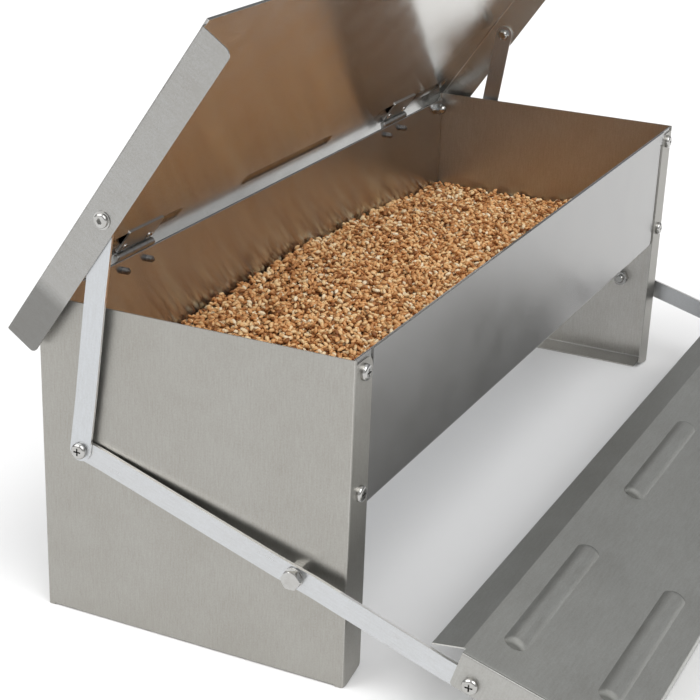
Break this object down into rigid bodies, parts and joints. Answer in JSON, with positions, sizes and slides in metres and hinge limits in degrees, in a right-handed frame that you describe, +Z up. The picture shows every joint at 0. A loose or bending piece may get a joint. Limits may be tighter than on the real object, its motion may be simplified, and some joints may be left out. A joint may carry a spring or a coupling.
{
  "type": "treadle poultry feeder",
  "caption": "Sheet-metal poultry feed trough on two side panels, with a hinged lid that a front treadle plate opens through side arms and links.",
  "frame": {"origin": "on the floor, under the middle of the whole feeder with its lid open and its treadle down", "axes": "+Z up, +X to the right along the trough, -Y towards the front, where the treadle is"},
  "size_m": [0.7406, 0.4659, 0.4426],
  "materials": {
    "side_sheet": "fine vertical brushed satin stainless sheet",
    "trough_sheet": "fine brushed satin stainless sheet",
    "lid_sheet": "brushed satin stainless sheet, glossier inside",
    "treadle_sheet": "brushed satin stainless sheet",
    "flat_bar": "drawn flat bar with lengthwise lines",
    "hinge_metal": "plain stainless butt hinge",
    "fastener": "bright zinc-plated or stainless fastener",
    "dark_fastener": "plain steel thread-forming screw",
    "wheat": "loose wheat grain"
  },
  "bodies": {
    "housing": {"side_panel_left": "side_sheet", "side_panel_right": "side_sheet", "feed_trough": "trough_sheet", "front_screws": "fastener", "front_nuts": "fastener", "rear_screws": "fastener", "rear_dome_nuts": "fastener", "feed_grain": "wheat", "hinge_wall_leaf_left": "hinge_metal", "hinge_wall_leaf_right": "hinge_metal", "hinge_pin_left": "hinge_metal", "hinge_pin_right": "hinge_metal", "hinge_wall_screws": "dark_fastener", "pivot_bolts": "fastener", "pivot_washers": "fastener", "pivot_spacer_nuts": "fastener", "pivot_inner_nuts": "fastener"},
    "lid": {"lid_panel": "lid_sheet", "hinge_lid_leaf_left": "hinge_metal", "hinge_lid_leaf_right": "hinge_metal", "hinge_lid_rivets": "fastener", "lid_link_bolts": "fastener"},
    "treadle": {"treadle_arm_left": "flat_bar", "treadle_arm_right": "flat_bar", "treadle_plate": "treadle_sheet", "treadle_screws": "fastener", "treadle_nuts": "fastener", "link_foot_screws": "fastener"},
    "link_left": {"link_bar_left": "flat_bar", "lid_link_nut_left": "fastener"},
    "link_right": {"link_bar_right": "flat_bar", "lid_link_nut_right": "fastener"}
  },
  "joints": [
    {"name": "treadle_hinge", "type": "hinge", "parent": "housing", "child": "treadle", "pos_m": [0, 0.008, 0.082], "axis": [-1, 0, 0], "range_deg": [0, 21.94]},
    {"name": "lid_hinge", "type": "hinge", "parent": "housing", "child": "lid", "pos_m": [0, 0.212, 0.2383], "axis": [1, 0, 0], "range_deg": [0, 55.6]},
    {"name": "link_left_pivot", "type": "hinge", "parent": "treadle", "child": "link_left", "pos_m": [-0.3552, 0.1785, 0.1335], "axis": [1, 0, 0], "range_deg": [0, 34.4]},
    {"name": "link_right_pivot", "type": "hinge", "parent": "treadle", "child": "link_right", "pos_m": [0.3552, 0.1785, 0.1335], "axis": [1, 0, 0], "range_deg": [0, 34.4]}
  ],
  "couplings": [
    {"joint": "lid_hinge", "follows": "treadle_hinge", "ratio": 2.5339},
    {"joint": "link_left_pivot", "follows": "treadle_hinge", "ratio": 1.5673},
    {"joint": "link_right_pivot", "follows": "treadle_hinge", "ratio": 1.5673}
  ]
}
